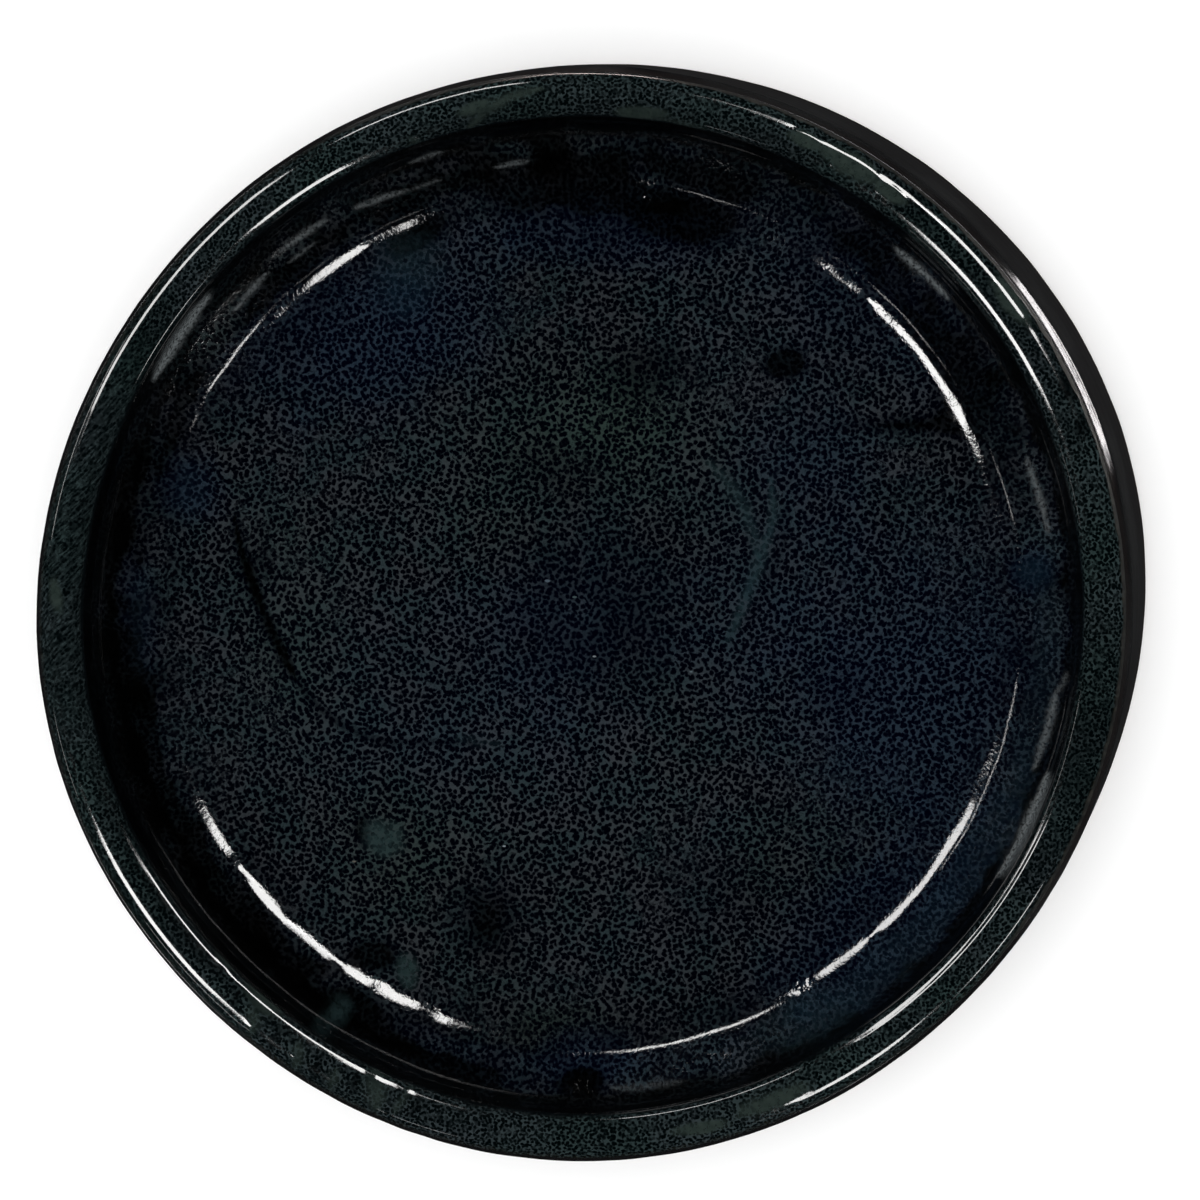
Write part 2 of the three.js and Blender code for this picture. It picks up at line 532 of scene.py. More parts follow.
LIT = 1.55          # radiance of a perfect white surface in this light; colours below are as seen


def seen(c):
    """Base colour that looks like this sRGB colour in this light."""
    r = lin(c)
    return tuple(v / LIT for v in r[:3]) + (1.0,)


# ======================================================================
# well coat
# ======================================================================
scene = bpy.context.scene
N_WELL = 512
path = well_path(True)
well0 = turned_grid(path, N_WELL)
well_n = grid_normals(well0)
m = Marks(well0, 11)
s_along = along(path)[:, None] + 0 * m.x
floor_s = FLOOR_R
th = np.arange(N_WELL) / N_WELL * 2 * math.pi + 0 * m.x
X, Y, Z = well0[..., 0], well0[..., 1], well0[..., 2]
fx, fy = X - WELL_SHIFT[0], Y - WELL_SHIFT[1]
fr, fa = np.hypot(fx, fy), np.arctan2(fy, fx)
on_floor = 1 - step((s_along - floor_s + 4) / 8)
on_wall = 1 - on_floor



def floor_point(px, py):
    """The mottle coordinates of the floor at a picture point."""
    d = np.hypot(m.x - px, m.y - py)
    k = np.unravel_index(np.argmin(d), d.shape)
    return float(s_along[k] * math.cos(th[k])), float(s_along[k] * math.sin(th[k]))


# ---- relief: throwing spiral, fillet unevenness, dents and thick spots ----
turns = fr / 6.4 - fa / (2 * math.pi) + 0.15 * layered(fx / 30, fy / 30, 0, 2, 5)
spiral = np.cos(2 * math.pi * turns)
relief = 0.045 * spiral * on_floor * step((fr - 3) / 8) * (0.55 + 0.45 * layered(fx / 26, fy / 26, 0, 2, 8))
relief += 0.16 * np.exp(-(fr / 3.2) ** 2) - 0.12 * np.exp(-((fr - 6.5) / 2.4) ** 2)
relief += 0.10 * layered(X / 24, Y / 24, Z / 24, 3, 21)
fillet = step((s_along - floor_s + 8) / 10) * (1 - step((s_along - floor_s - 20) / 10))
relief += fillet * (0.075 * noise(X / 6.2, Y / 6.2, Z / 6.2, 33) + 0.016 * noise(X / 2.6, Y / 2.6, Z / 2.6, 35))
for na, nr, size, deep in ((216.5, 424, 9, 0.17), (234.8, 424, 5, 0.12), (241.5, 431, 10, -0.12), (120.3, 426, 3, 0.07), (312.2, 431, 4, 0.14), (249.5, 428, 10, -0.07),
                           (225.5, 430, 9, 0.06), (47.8, 425, 4, 0.08), (323.5, 436, 11, 0.06), (29.0, 424, 9, -0.06), (38.0, 432, 10, 0.05)):
    relief += -deep * m.blob(583 + nr * math.cos(math.radians(na)), 614.5 - nr * math.sin(math.radians(na)), size, edge=0.8, ragged=0.1)
relief += on_wall * (0.006 + 0.006 * layered(X / 16, Y / 16, Z / 16, 2, 37)) * np.cos(2 * math.pi * (s_along / 5.2 - fa / (2 * math.pi) + 0.12 * layered(X / 20, Y / 20, Z / 20, 2, 39)))

groove = smooth_curve([(234, 514), (241, 550), (252, 582), (266, 618), (280, 648), (294, 676), (318, 706), (352, 730), (390, 742), (425, 741), (482, 744)])
crease = np.maximum(m.stroke(groove[:21], 5.0, 0.45), m.stroke(groove[11:20], 8.0, 0.5))
crease_b = m.stroke(groove[19:], 5.5, 0.6)
ridge_a = m.stroke(smooth_curve([(770, 505), (765, 545), (748, 590), (728, 625), (712, 655)]), 5.0)
ridge_b = m.stroke(smooth_curve([(745, 525), (738, 505), (722, 482), (706, 466)]), 4.5)
ridge_c = m.stroke(smooth_curve([(430, 412), (480, 402), (540, 402), (600, 416), (660, 442), (700, 470)]), 4.0)
relief += -0.12 * crease - 0.03 * crease_b + 0.14 * ridge_a + 0.10 * ridge_b + 0.06 * ridge_c
knock = m.blob(786, 366, 13, edge=0.5, ragged=0.1)
relief += -0.10 * knock + 0.03 * m.ring(786, 366, 17, 5)
relief += 0.22 * m.blob(584, 1080, 13, 16, edge=0.6, ragged=0.15)
relief += 0.16 * m.blob(408, 968, 12, 14, edge=0.6) + 0.14 * m.blob(382, 838, 16, edge=0.6)
relief += -0.14 * m.blob(374, 953, 14, edge=0.6) - 0.16 * m.blob(488, 915, 20, edge=0.6)
relief += 0.12 * m.blob(655, 190, 10, edge=0.6)
# the sloping part steepens towards the bend
up_slope = s_along - floor_s - 7.0
rise = np.clip(up_slope + 0.6, 0, None)
relief += 0.048 * (rise - 0.9 * (1 - np.exp(-rise / 0.9))) * (1 - step((up_slope - 10.0) / 6.5))
well_front = well0 + well_n * np.clip(relief, -0.45, 0.55)[..., None]
well_front[:, :, 2] = np.minimum(well_front[:, :, 2], HEIGHT)

# ---- glaze marks, with painted shade on the wall ----
big = layered(X / 28, Y / 28, Z / 28, 3, 51)
mid = layered(X / 11, Y / 11, Z / 11, 3, 52)
fine = layered(X / 4.5, Y / 4.5, Z / 4.5, 2, 53)

blue = 0.16 + 0.20 * big
blue = blue + 0.85 * m.blob(365, 330, 120, 70, 15, 0.7) + 0.75 * m.blob(605, 232, 120, 34, 0, 0.7)
blue = blue - 0.30 * m.sector(92, 150, 444, 496) + 0.35 * m.sector(246, 290, 440, 480, 8, 10) + 0.45 * m.blob(590, 620, 90, 80, 0, 0.8) + 0.70 * m.blob(930, 700, 130, 150, 0, 0.7)
blue = blue + 0.75 * m.blob(880, 940, 130, 75, 38, 0.7) + 0.75 * m.blob(190, 485, 30, 34, 0, 0.6) + 0.5 * m.blob(137, 618, 18, 55, 4, 0.7)
blue = blue + 0.80 * m.blob(1031, 572, 19, 19, 0, 0.6) + 0.70 * m.blob(590, 1055, 45, 28, 0, 0.6)
blue = blue + 0.55 * m.blob(870, 300, 110, 70, -35, 0.8) + 0.35 * m.blob(760, 600, 70, 110, 0, 0.8)
blue = blue + 0.30 * m.blob(470, 700, 110, 90, 0, 0.8) + 0.4 * m.blob(820, 460, 60, 60, 0, 0.8)
blue = np.clip(blue, 0, 1)

green = 0.05 + 0.22 * layered(X / 19, Y / 19, 7.0, 3, 61)
green = green + 0.55 * m.blob(620, 420, 90, 60, 0, 0.8) + 0.50 * m.blob(390, 850, 60, 60, 0, 0.8)
green = green + 0.65 * m.blob(565, 1028, 50, 22, 0, 0.7) + 0.40 * m.blob(290, 640, 60, 100, 0, 0.8)
green = green + 0.40 * m.blob(820, 855, 80, 50, 30, 0.8) + 0.35 * m.blob(730, 520, 70, 60, 0, 0.8)
green = green + 0.35 * m.blob(540, 470, 110, 90, 0, 0.8) + 0.3 * m.blob(960, 590, 50, 60, 0, 0.8)
green = np.clip(green, 0, 1) * (1 - 0.6 * blue)

light = 0.92 + 0.16 * big + 0.14 * mid
light = light - 0.45 * m.blob(590, 615, 85, 75, 0, 0.8, 0.2) + 0.42 * np.exp(-((np.hypot(m.x - 580, m.y - 611)) / 17) ** 2)
light = light + 0.22 * m.blob(560, 800, 190, 110, 0, 0.9, 0.2) + 0.15 * m.blob(400, 560, 130, 120, 0, 0.9, 0.2)
light = light - 1.35 * crease - 0.75 * crease_b + 0.30 * m.stroke(groove + [10, -7], 5.0) - 0.35 * m.blob(262, 566, 14, 10, -40, 0.7)
light = light + 0.42 * ridge_a + 0.34 * ridge_b + 0.26 * ridge_c - 0.25 * m.stroke(smooth_curve([(786, 505), (780, 548), (763, 595), (742, 632)]), 7.0)
light = light - 1.1 * m.blob(785, 364, 20, 16, 10, 0.55, 0.2) + 0.22 * m.blob(790, 384, 16, 7, 0, 0.8, 0.2)
light = light - 0.8 * m.blob(488, 914, 34, 40, 20, 0.85, 0.5) - 0.95 * m.blob(374, 955, 24, 15, 0, 0.45, 0.3)
light = light - 0.8 * m.blob(362, 830, 8, 16, 0, 0.5) - 0.9 * m.blob(586, 1082, 22, 14, 0, 0.5)
light = light - 0.5 * m.blob(650, 370, 45, 26, 10, 0.7) - 0.75 * m.blob(690, 225, 55, 26, -8, 0.5)
light = light - 0.7 * m.blob(415, 238, 30, 14, 35, 0.5) - 0.5 * m.blob(920, 425, 60, 12, -3, 0.6) - 0.55 * m.blob(950, 410, 20, 14, 0, 0.6)
light = light - 0.4 * m.stroke([(805, 425), (870, 428), (935, 424), (985, 440)], 6.0) - 0.45 * m.stroke([(690, 285), (725, 318), (765, 345)], 5.0)
light = light - 0.3 * m.blob(720, 885, 50, 40, 0, 0.8) - 0.35 * m.blob(840, 690, 40, 30, 0, 0.8)
light = light - 0.35 * m.blob(560, 470, 50, 25, 0, 0.8) - 0.3 * m.blob(250, 560, 18, 40, 10, 0.6)

light = light - 0.25 * m.blob(605, 228, 75, 32, 0, 0.8) + 0.12 * m.blob(930, 700, 120, 130, 0, 0.8) + 0.12 * m.blob(620, 420, 80, 50, 0, 0.8) - 0.10 * m.blob(600, 880, 90, 50, 0, 0.8)

# painted shade: the wall is painted darker than the floor, and black on its steep part
s_wall = s_along - floor_s
wall_shade_ramp = step((s_wall + 3) / 12)
light = light - wall_shade_ramp * (0.46 + 0.22 * mid) + 0.25 * wall_shade_ramp * m.sector(285, 350, 420, 470, 20, 20)
# painted shade: sectors of the wall painted darker, near black below the rim on the lower left
for a0, a1, r0, r1, k in (
    (160, 212, 464, 520, 0.95), (212, 262, 462, 520, 0.85), (176, 226, 446, 470, 0.30), (120, 160, 470, 520, 0.45),
    (60, 122, 486, 520, 0.9), (262, 300, 478, 520, 0.55),
    (300, 345, 486, 520, 0.85), (345, 420, 488, 520, 0.8), (216, 246, 434, 468, 0.30),
    (126, 146, 440, 455, 0.25), (22, 40, 420, 450, 0.22), (150, 262, 440, 476, 0.22),
):
    light = light - k * m.sector(a0, a1, r0, r1, 8, 13, 11)
# more painted shade on the wall, with a few sectors lightened where the mottle shows
light = light - 0.42 * m.sector(74, 112, 408, 466, 20, 18, 14) - 0.35 * m.sector(82, 96, 398, 440, 14, 16, 12) - 0.14 * m.sector(22, 62, 440, 478, 14, 14, 12)
light = light - 0.55 * m.blob(140, 705, 18, 36, 15, 0.7, 0.6) + 0.28 * m.blob(137, 618, 16, 52, 4, 0.8, 0.5)
light = light + 0.30 * m.sector(300, 345, 440, 480) * (0.6 + mid) + 0.25 * m.sector(350, 385, 440, 485) * (0.6 + mid)
light = light + 0.50 * m.sector(246, 296, 444, 486, 8, 10) * (0.8 + 0.6 * mid) + 0.16 * m.sector(120, 166, 440, 490) * (0.3 + mid) + 0.05 * m.sector(62, 118, 470, 488) * (0.5 + mid) - 0.22 * m.sector(63, 100, 442, 494) - 0.10 * m.sector(100, 140, 444, 494)
light = light + wall_shade_ramp * (0.55 * layered(X / 7, Y / 7, Z / 7, 2, 56) + 0.25 * fine)
# painted shade: the steep wall just under the rim goes black
under_rim_shade = step((s_wall - 20.5 + 2.2 * mid + 1.2 * fine) / 3.5)
light = np.maximum(light, (0.14 + 0.10 * layered(X / 6, Y / 6, Z / 6, 2, 57)) * np.clip((light + 0.62) / 0.5, 0.04, 1))
light = np.clip(light * (1 - 0.97 * under_rim_shade), 0.0, 1.5)

# smooth pale patches where the glaze lies thick
patch = 0.42 * m.blob(408, 272, 30, 30, -25, 0.8, 0.6) + 0.85 * m.blob(408, 970, 11, 17, 10, 0.4)
patch = patch + 0.8 * m.blob(384, 838, 18, 16, 0, 0.5) + 0.34 * m.blob(1031, 572, 14, 14, 0, 0.6) + 0.22 * m.blob(800, 1005, 30, 14, 20, 0.8, 0.7)
patch = patch + 0.10 * m.blob(140, 620, 9, 40, 0, 0.8, 0.7) + 0.14 * m.blob(190, 490, 14, 26, 0, 0.8, 0.6)
patch = patch + 0.2 * m.blob(830, 1020, 40, 12, 35, 0.8, 0.7) + 0.80 * m.stroke(smooth_curve([(771, 478), (773, 512), (767, 540), (758, 566), (748, 592), (738, 618), (728, 640)]), 5.0, 0.25)
patch = patch + 0.55 * m.stroke(smooth_curve([(758, 556), (752, 528), (742, 504), (728, 482), (708, 462)]), 6.0, 0.35) + 0.25 * m.stroke([(455, 737), (500, 745)], 5.0)
patch = patch + 0.22 * m.sector(290, 338, 446, 484, 8, 10, 10) + 0.12 * m.sector(339, 368, 452, 480, 8, 10, 10)
patch = patch + 0.34 * m.blob(331, 1020, 20, 9, 38, 0.5, 0.5) + 0.28 * m.blob(339, 1008, 9, 12, -25, 0.6, 0.5)
patch = np.clip(patch, 0, 1)
# painted reflections: pale streaks on the wall where soft lights are mirrored
ring_pt = lambda a, r: (583 + r * math.cos(math.radians(a)), 614.5 - r * math.sin(math.radians(a)))
painted_reflection = 0.95 * m.stroke([ring_pt(a, 493 - 0.2 * (a - 140)) for a in np.linspace(139.5, 151, 7)], 4.0, 0.5)
painted_reflection = painted_reflection + 0.80 * m.stroke([ring_pt(a, 493) for a in np.linspace(328, 341, 7)], 4.3, 0.6)
for a0, a1, r0, r1, width, k in (
    (41, 49.5, 485, 483, 4.5, 0.62), (341.5, 351, 478, 481, 4.5, 0.45), (10, 19, 474, 471, 4.0, 0.46), (112.5, 119.5, 460, 467, 3.0, 0.38),
    (123, 130, 472, 473, 4.0, 0.42), (133, 139, 466, 463, 3.8, 0.42), (97, 101, 458, 456, 2.5, 0.34), (107, 111, 486, 486, 2.6, 0.26),
    (125.5, 129.5, 460, 459, 2.2, 0.26), (274, 282, 476, 478, 5.0, 0.16), (351, 353, 484, 490, 3.0, 0.24), (108, 112, 459, 458, 2.5, 0.2),
):
    painted_reflection = painted_reflection + 1.1 * k * m.stroke([ring_pt(a0 + t * (a1 - a0), r0 + t * (r1 - r0)) for t in np.linspace(0, 1, 6)], 0.82 * width, 0.6)
painted_reflection = np.clip(painted_reflection, 0, 1)

# share of the tangled mottle against the round-spotted one
tangle = np.clip(0.20 + 0.55 * layered(X / 15, Y / 15, Z / 15, 2, 71) + 0.55 * wall_shade_ramp - 0.5 * m.blob(560, 640, 170, 130, 0, 0.9, 0.2) + 0.3 * m.blob(800, 830, 130, 90, 0, 0.8), 0, 1)
blister = np.clip(m.blob(652, 192, 16, 12, 0, 0.4) + m.blob(800, 983, 12, 10, 0, 0.4) + 0.22 * m.blob(852, 298, 6, 5, -40, 0.4) + 0.6 * m.blob(445, 478 + 530, 20, 6, -10, 0.5), 0, 1)

# the mottle's own coordinates: as the floor lies, drawn out down the wall
grow = np.where(s_wall < 0, 1.0, 1.0 - 0.20 * step(s_wall / 12))
ds = np.diff(s_along[:, :1], axis=0, prepend=0.0)
flat = np.cumsum(ds * grow[:, :1], axis=0) + 0 * s_along
pat = np.stack([flat * np.cos(th), flat * np.sin(th), step((s_wall - 13.5) / 3.5)], -1)

def inset(p, d, start=None, end=None):
    nrm = -path_normals(p)
    if start is not None:
        nrm[0] = start
    if end is not None:
        nrm[-1] = end
    return p + nrm * d


DOWN, JOIN_IN = (0.0, -1.0), (1.0, 0.0)
JOIN_OUT = (-math.sin(math.radians(GLAZE_LINE)), -math.cos(math.radians(GLAZE_LINE)))
JOIN_FOOT = (-1.0, 0.0)


def trimmed(p, on_axis):
    """Ends drawn back by half a seam, so neighbouring coats don't meet."""
    p = p.copy()
    for i, j in (((-1, -2),) if on_axis else ((0, 1), (-1, -2))):
        d = p[j] - p[i]
        p[i] = p[i] + d / np.linalg.norm(d) * SEAM * 0.5
    return p


well_back = turned_grid(trimmed(inset(well_path(False), GLAZE, DOWN, JOIN_IN), True), N_WELL)
well, ids = shell("well_coat", well_front, well_back, True)
give(well, "pat", ids, pat)
give(well, "tone", ids, np.stack([blue, green, light], -1))
give(well, "kind", ids, np.stack([tangle, patch, blister], -1))
give(well, "painted_reflection", ids, np.stack([painted_reflection, 0 * painted_reflection, 0 * painted_reflection], -1))
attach(well, "root")
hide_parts("glaze_well")

g = Nodes("well_glaze_look")
pat_in = g.attr("pat")
b_, gr_, li_ = g.parts(g.attr("tone"))
ta_, pa_, bl_ = g.parts(g.attr("kind"))
warp = g.vmath("SCALE", g.vmath("SUBTRACT", g.noise(pat_in, 0.55, 2.0, 0.5, "2D", True), (0.5, 0.5, 0.5)), scale=0.7)
p1 = g.vmath("ADD", pat_in, warp)
warp2 = g.vmath("SCALE", g.vmath("SUBTRACT", g.noise(pat_in, 2.6, 1.0, 0.5, "2D", True), (0.5, 0.5, 0.5)), scale=0.28)
p2 = g.vmath("ADD", p1, warp2)
half_warp = g.vmath("ADD", p1, g.vmath("SCALE", warp2, scale=0.4))


def turned_by(vec, angle):
    c, s = math.cos(angle), math.sin(angle)
    return g.join(g.vmath("DOT_PRODUCT", vec, (c, s, 0.0)), g.vmath("DOT_PRODUCT", vec, (-s, c, 0.0)), 0.0)


cells_a = g.voronoi(turned_by(half_warp, 0.42), 1.04, "F1", "2D", 0.84)
cells_b = g.voronoi(turned_by(half_warp, -0.38), 1.04, "F1", "2D", 0.84)
cells = g.blend(g.ramp(g.noise(pat_in, 0.22, 1.0, 0.5, "2D"), 0.46, 0.54), cells_a, cells_b)
net_a = g.ramp(cells, 0.335, 0.615)
small = g.voronoi(g.vmath("ADD", p2, warp2), 1.22, "F1", "2D", 1.0)
net_b = g.ramp(small, 0.325, 0.65)
size_break = g.noise(pat_in, 0.42, 2.0, 0.5, "2D")
net = g.blend(g.ramp(g.math("ADD", ta_, g.math("MULTIPLY", g.math("SUBTRACT", size_break, 0.5), 1.2)), 0.38, 0.62), net_a, net_b)
glow = g.noise(p1, 2.0, 3.0, 0.7, "2D")
strength = g.math("MULTIPLY", g.math("MULTIPLY", net, li_), g.ramp(glow, 0.28, 0.70, 0.60, 1.22, False))
grey = g.mix(g.ramp(g.noise(pat_in, 0.11, 3.0, 0.6, "2D"), 0.35, 0.65), seen((41, 52, 54)), seen((53, 56, 59)))
net_c = g.mix(b_, g.mix(gr_, grey, seen((41, 55, 48))), seen((33, 45, 57)))
spot_c = g.mix(b_, seen((0, 1, 5)), seen((0, 1, 12)))
# where the tone is darkest, as in the painted shade under the rim, the spots go black
spot_c = g.mix(g.ramp(li_, 0.0, 0.45), seen((0, 0, 0)), spot_c)
col = g.mix(g.math("MINIMUM", strength, 1.25), spot_c, net_c)
patch_c = g.mix(b_, seen((38, 53, 52)), seen((20, 38, 50)))
patch_f = g.math("MULTIPLY", pa_, g.ramp(g.noise(p2, 0.9, 2.0, 0.6, "2D"), 0.25, 0.60, 0.35, 1.0), clamp=True)
col = g.mix(patch_f, col, patch_c)
for (cx, cy), size, tint in (((595, 658), 0.28, (108, 116, 120)), ((505, 848), 0.26, (120, 130, 135)), ((548, 581), 0.42, (70, 82, 92)),
                             ((690, 671), 0.24, (80, 92, 98)), ((352, 862), 0.30, (86, 84, 78)), ((575, 598), 0.34, (58, 72, 74))):
    at = floor_point(cx, cy)
    gap = g.vmath("LENGTH", g.vmath("MULTIPLY", g.vmath("SUBTRACT", pat_in, (at[0], at[1], 0.0)), (0.7, 1.4, 0.0)))
    col = g.mix(g.ramp(gap, size * 0.6, size * 1.1, 1.0, 0.0), col, seen(tint))
# painted reflections: pale streaks mixed into the colour
refl_ = g.parts(g.attr("painted_reflection"))[0]
col = g.mix(g.math("MULTIPLY", refl_, g.ramp(g.noise(p2, 1.6, 3.0, 0.65, "2D"), 0.30, 0.62, 0.15, 1.0)), col, seen((122, 128, 130)))
rough = g.ramp(g.noise(pat_in, 0.3, 2.0, 0.5, "2D"), 0.3, 0.7, 0.045, 0.075)
rough = g.blend(g.parts(pat_in)[2], rough, 0.085)
h = g.math("ADD", g.math("MULTIPLY", net, 0.6), g.math("MULTIPLY", g.noise(p2, 2.6, 2.0, 0.5, "2D"), 0.8))
h = g.math("ADD", h, g.math("MULTIPLY", g.math("MULTIPLY", bl_, g.noise(pat_in, 0.9, 1.0, 0.5, "2D")), 16.0))
nrm_ = g.bump(h, 1.0, 0.0000065)
g.shader(Base_Color=col, Roughness=rough, IOR=1.5, Normal=nrm_)
well.data.materials.append(g.mat)

# ======================================================================
# rim coat
# ======================================================================
N_RIM = 1024
rp = rim_path(True)
rim0 = turned_grid(trimmed(rp, False), N_RIM)
rim_n = grid_normals(rim0)
mr = Marks(rim0, 23)
X, Y, Z = rim0[..., 0], rim0[..., 1], rim0[..., 2]
s_r = along(rp)[:, None] + 0 * X
tot = s_r[-1, 0]
relief = 0.055 * layered(X / 19, Y / 19, Z / 19, 3, 81) + 0.012 * noise(X / 5, Y / 5, Z / 5, 83)
edge = step(s_r / 1.2) * step((tot - s_r) / 0.8)
runs = [
    (262, 1000, 20, 8, -40),
    (848, 164, 30, 11, -30), (806, 140, 16, 7, -22), (890, 193, 17, 7, -36), (475, 108, 16, 6, 20), (640, 113, 26, 6, -3),
    (56, 596, 7, 18, 12), (770, 1102, 34, 9, 22), 
    (700, 1128, 30, 7, 8), (1010, 300, 10, 26, 35), (230, 960, 14, 8, -40),
]
opaque = np.zeros_like(X)
for cx, cy, rx, ry, rot in runs:
    opaque = np.maximum(opaque, mr.blob(cx, cy, rx, ry, rot, 0.35, 0.55))
at = lambda a, r: (583 + r * math.cos(math.radians(a)), 614.5 - r * math.sin(math.radians(a)))
for pts, width, k in (
    (((94.5, 528), (98, 523), (101, 512), (103, 501)), 5.0, 0.9), (((109.3, 500), (110, 507)), 4.0, 0.6), (((230, 510), (231.5, 533)), 6.5, 0.7),
    (((236.5, 513), (237.5, 536)), 6.0, 0.6), (((241.5, 518), (242, 536)), 5.0, 0.55), (((245.5, 498), (247.2, 534)), 9.5, 0.8),
    (((250, 503), (249.2, 532)), 4.0, 0.6), (((288, 517), (291, 520), (294, 526)), 8.0, 0.6), (((76, 500), (85, 503)), 4.5, 0.45),
):
    opaque = np.maximum(opaque, k * mr.stroke([at(*q) for q in pts], width, 0.5))
relief = relief + 0.10 * opaque
relief = relief - 0.12 * mr.sector(303, 339, 470, 507, 5, 5, 0) + 0.12 * mr.sector(207, 250, 470, 503.5, 5, 9, 0)
rim_front = rim0 + rim_n * (np.clip(relief, -0.2, 0.3) * edge)[..., None]
rim_front[:, :, 2] = np.minimum(rim_front[:, :, 2], HEIGHT)
rim_back = turned_grid(trimmed(inset(rim_path(False), GLAZE, JOIN_IN, JOIN_OUT), False), N_RIM)
rim, ids = shell("rim_coat", rim_front, rim_back, False)

# painted shade: black over the inner edge where it turns down into the well, deeper in a few sectors; the dark gaps
# between drips and the chips are the glaze's own
rim_shade_and_dark_glaze = 1 - step((s_r - 0.75 - 0.45 * layered(X / 4, Y / 4, Z / 4, 2, 85)) / 1.1)          # black over the inner edge
for a0, a1, k in ((60, 112, 0.35), (165, 250, 0.30), (194, 230, 0.50), (262, 300, 0.10)):
    rim_shade_and_dark_glaze = np.maximum(rim_shade_and_dark_glaze, k * mr.sector(a0, a1, 495, 516, 8, 6, 4))
for pts in (((227.6, 506), (228.4, 534)), ((233.6, 508), (234.2, 534)), ((239.3, 510), (239.8, 536)), ((243.6, 504), (244.2, 534)), ((251.4, 508), (251.0, 530))):
    gap = mr.stroke([at(a, r) for a, r in pts], 3.6, 0.7)
    rim_shade_and_dark_glaze = np.maximum(rim_shade_and_dark_glaze, 0.75 * gap)
    opaque = opaque * (1 - 0.85 * gap)
rim_shade_and_dark_glaze = np.maximum(rim_shade_and_dark_glaze, 0.9 * mr.blob(1068, 388, 9, 15, 25, 0.5, 0.6))
rim_shade_and_dark_glaze = np.maximum(rim_shade_and_dark_glaze, 0.8 * mr.blob(1082, 428, 7, 9, 0, 0.5, 0.6))
rust = step((s_r - (tot - 1.15) + 0.35 * layered(X / 3, Y / 3, Z / 3, 2, 86)) / 0.8)       # brown where it thins over the outer edge
rust = rust * (1 - 0.85 * mr.sector(79, 98, 500, 560, 5, 5)) * (0.35 + 0.65 * step((np.cos(np.arctan2(Y, X) - math.radians(40)) - 0.1) / 0.25))
tone_r = np.clip(0.5 + 0.5 * layered(X / 12, Y / 12, Z / 12, 3, 87), 0, 1)
bright = np.clip(0.85 + 0.35 * layered(X / 9, Y / 9, Z / 9, 3, 88) - 0.25 * mr.sector(28, 60, 495, 545, 10, 10) + 0.05 * mr.sector(-8, 22, 505, 540, 8, 8) - 0.30 * mr.sector(140, 166, 495, 545, 8, 10) - 0.35 * mr.sector(205, 222, 495, 545, 8, 10)
                 - 0.3 * mr.sector(330, 352, 495, 545, 8, 10) + 0.04 * mr.sector(150, 232, 495, 545, 10, 10) - 0.14 * mr.sector(112, 148, 495, 545, 10, 10) + 0.20 * mr.sector(262, 300, 495, 545, 10, 10) + 0.2 * mr.sector(66, 110, 505, 540, 8, 8) + 0.15 * mr.sector(115, 150, 505, 540, 8, 8), 0.15, 1.5)
streak = np.clip(mr.sector(150, 190, 495, 545, 12, 10), 0, 1)
give(rim, "tone", ids, np.stack([opaque, rim_shade_and_dark_glaze, rust], -1))
give(rim, "kind", ids, np.stack([tone_r, bright, streak], -1))
thr = np.arange(N_RIM) / N_RIM * 2 * math.pi + 0 * X
give(rim, "pat", ids, np.stack([np.cos(thr) * (94 + 1.25 * s_r), np.sin(thr) * (94 + 1.25 * s_r), 0 * s_r], -1))
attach(rim, "root")
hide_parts("glaze_rim")

g = Nodes("rim_glaze_look")
pr = g.attr("pat")
op_, shade_and_dark_, ru_ = g.parts(g.attr("tone"))
tn_, br_, st_ = g.parts(g.attr("kind"))
w1 = g.vmath("SCALE", g.vmath("SUBTRACT", g.noise(pr, 1.1, 3.0, 0.6, "2D", True), (0.5, 0.5, 0.5)), scale=0.6)
q1 = g.vmath("ADD", pr, w1)
fine_net = g.ramp(g.voronoi(q1, 1.50, "F1", "2D", 1.0), 0.36, 0.59)
dots = g.ramp(g.voronoi(q1, 1.32, "F1", "2D", 0.9), 0.345, 0.58)
# brush-like streaks: the pattern drawn out along one diagonal
q0 = g.vmath("ADD", pr, g.vmath("SCALE", w1, scale=0.35))
long_ = g.math("MULTIPLY", g.vmath("DOT_PRODUCT", q0, (0.72, 0.69, 0.0)), 0.30)
short_ = g.math("MULTIPLY", g.vmath("DOT_PRODUCT", q0, (-0.69, 0.72, 0.0)), 1.8)
streaks = g.ramp(g.noise(g.join(long_, short_, 0.0), 1.0, 2.0, 0.6, "2D"), 0.47, 0.57)
netr = g.blend(g.ramp(g.noise(pr, 0.2, 2.0, 0.5, "2D"), 0.4, 0.6), fine_net, dots)
netr = g.blend(g.math("MULTIPLY", st_, 0.6), netr, streaks)
amt = g.math("MULTIPLY", g.math("MULTIPLY", netr, br_), g.ramp(g.noise(q1, 0.9, 3.0, 0.65, "2D"), 0.30, 0.66, 0.45, 1.35, False))
teal = g.mix(tn_, seen((36, 52, 50)), seen((50, 56, 60)))
colr = g.mix(amt, seen((0, 3, 4)), teal)
runs_f = g.math("MULTIPLY", op_, g.ramp(g.noise(q1, 1.1, 3.0, 0.65, "2D"), 0.26, 0.48, 0.42, 1.0))
colr = g.mix(runs_f, colr, g.mix(g.noise(q1, 0.6, 2.0, 0.6, "2D"), seen((25, 34, 32)), seen((48, 58, 54))))
